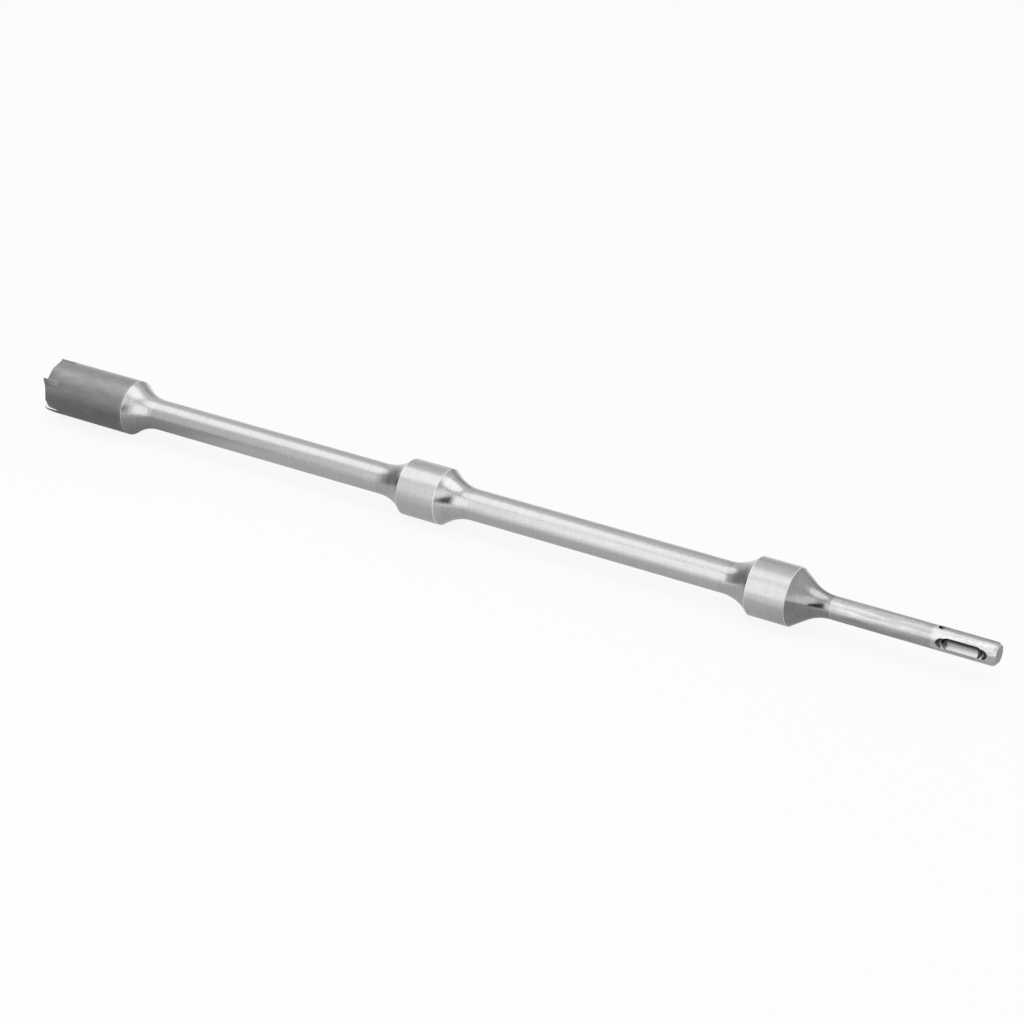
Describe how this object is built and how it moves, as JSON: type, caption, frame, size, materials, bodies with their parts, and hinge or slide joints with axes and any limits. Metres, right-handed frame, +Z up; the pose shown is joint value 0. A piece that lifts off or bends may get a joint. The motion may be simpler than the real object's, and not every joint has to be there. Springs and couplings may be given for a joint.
{
  "type": "rebar cutter bit",
  "caption": "Long hammer bit with a hollow toothed cutting head tipped in carbide, guide collars on a slim neck and a grooved 10 mm shank.",
  "frame": {"origin": "centre of the shank's struck end face, on the tool's axis", "axes": "+X along the tool's axis, from the shank towards the cutting crown; +Z up as the tool lies on its head and guide collars"},
  "size_m": [0.4726, 0.0255, 0.0254],
  "materials": {
    "tool_steel": "turned and satin, with a dark hardened head",
    "carbide": "ground"
  },
  "bodies": {
    "root": {"cutter_body": "tool_steel", "carbide_tip_1": "carbide", "carbide_tip_2": "carbide", "carbide_tip_3": "carbide", "carbide_tip_4": "carbide", "carbide_tip_5": "carbide"}
  },
  "joints": []
}
